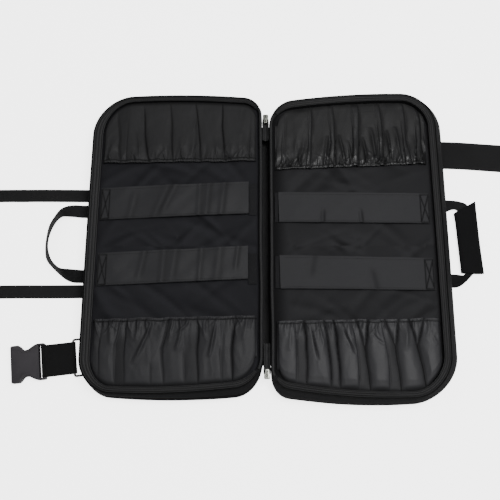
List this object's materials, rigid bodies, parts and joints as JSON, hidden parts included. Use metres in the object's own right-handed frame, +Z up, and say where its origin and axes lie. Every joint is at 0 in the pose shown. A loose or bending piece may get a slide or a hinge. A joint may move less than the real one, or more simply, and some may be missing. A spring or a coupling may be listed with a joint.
{
  "type": "knife roll",
  "caption": "Open chef's knife roll: two shallow fabric trays joined at a spine, with gathered knife pockets, loop bands, zips, carrying handles, straps and a buckle socket.",
  "frame": {"origin": "on the floor at the spine, under the middle of the strip that joins the two leaves", "axes": "+X across both leaves towards the right leaf, +Y along the spine away from the viewer, +Z up out of the open trays"},
  "size_m": [0.804, 0.4845, 0.036],
  "materials": {
    "shell": "coarse woven",
    "panel": "plain woven",
    "tape": "ribbed zipper tape",
    "satin": "satin",
    "band": "satin webbing",
    "webbing": "ribbed webbing",
    "hard": "satin plastic",
    "wire": "black coated",
    "metal": "worn nickel"
  },
  "bodies": {
    "root": {"left_shell": "shell", "left_lining": "panel", "left_zip_tape": "tape", "left_zip_coil": "tape", "left_piping": "shell", "right_shell": "shell", "right_lining": "panel", "right_zip_tape": "tape", "right_zip_coil": "tape", "right_piping": "shell", "left_top_pocket": "satin", "left_bottom_pocket": "satin", "right_top_pocket": "satin", "right_bottom_pocket": "satin", "left_upper_band": "band", "left_lower_band": "band", "right_upper_band": "band", "right_lower_band": "band", "left_upper_patch": "webbing", "left_lower_patch": "webbing", "right_upper_patch": "webbing", "right_lower_patch": "webbing", "left_upper_strap": "webbing", "left_lower_strap": "webbing", "right_wide_strap": "webbing", "left_handle": "webbing", "right_handle": "webbing", "right_handle_wrap": "shell", "buckle": "hard", "buckle_strap": "webbing", "strap_ring": "wire", "ring_tab": "webbing", "spine": "shell", "spine_end_top": "shell", "spine_end_bottom": "shell", "zipper_slider_top": "metal", "zipper_slider_bottom": "metal"}
  },
  "joints": []
}
